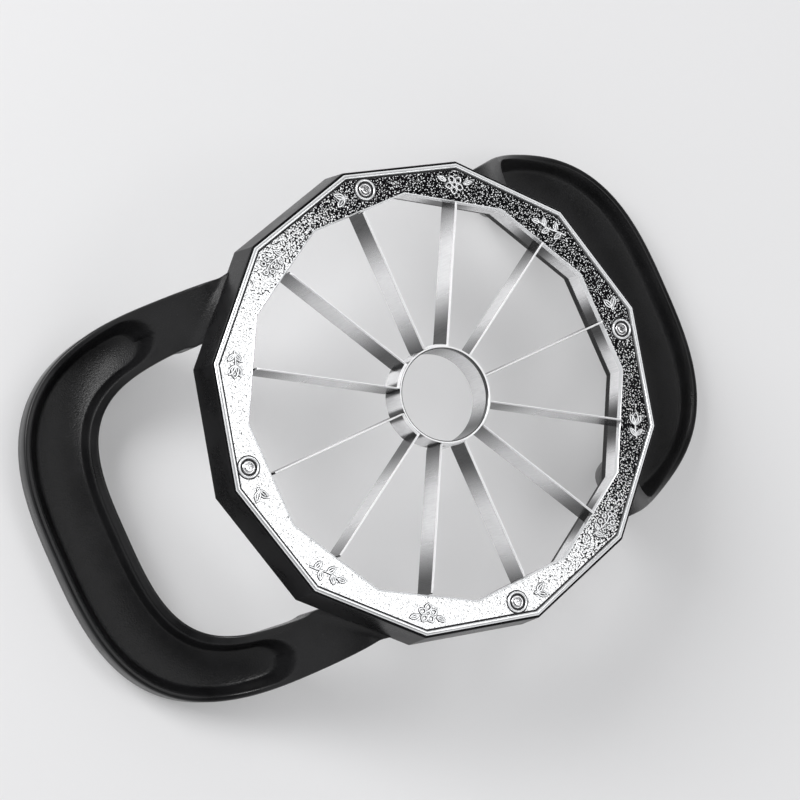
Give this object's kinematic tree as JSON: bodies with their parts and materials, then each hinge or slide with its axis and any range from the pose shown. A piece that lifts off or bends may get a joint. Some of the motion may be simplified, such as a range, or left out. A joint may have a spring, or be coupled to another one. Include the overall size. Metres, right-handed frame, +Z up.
{
  "type": "apple slicer",
  "caption": "Hand-pushed apple slicer and corer: blades in a bright ring, round core cutter, two looped black handles.",
  "frame": {"origin": "centre of the bounding box's underside: on the tool's middle axis, level with the backs of the two grips, which the tool lies on", "axes": "+Z up, out of the cutting side (cover ring and blade edges face +Z, handles at the bottom, as it lies in the picture; in use it is turned over and pushed along +Z of this frame, down onto the apple); +X from grip to grip; +Y across"},
  "size_m": [0.198, 0.1274, 0.0548],
  "materials": {
    "black_plastic": "satin",
    "bright_plating": "polished",
    "blade_steel": "brushed",
    "screw_steel": "satin"
  },
  "bodies": {
    "root": {"frame_band": "black_plastic", "right_handle": "black_plastic", "left_handle": "black_plastic", "cover_ring": "bright_plating", "blade_hoop": "blade_steel", "core_ring": "blade_steel", "blade_pair_1": "blade_steel", "blade_pair_2": "blade_steel", "blade_pair_3": "blade_steel", "blade_pair_4": "blade_steel", "blade_pair_5": "blade_steel", "blade_pair_6": "blade_steel", "cover_screw_1": "screw_steel", "cover_screw_2": "screw_steel", "cover_screw_3": "screw_steel", "cover_screw_4": "screw_steel"}
  },
  "joints": []
}
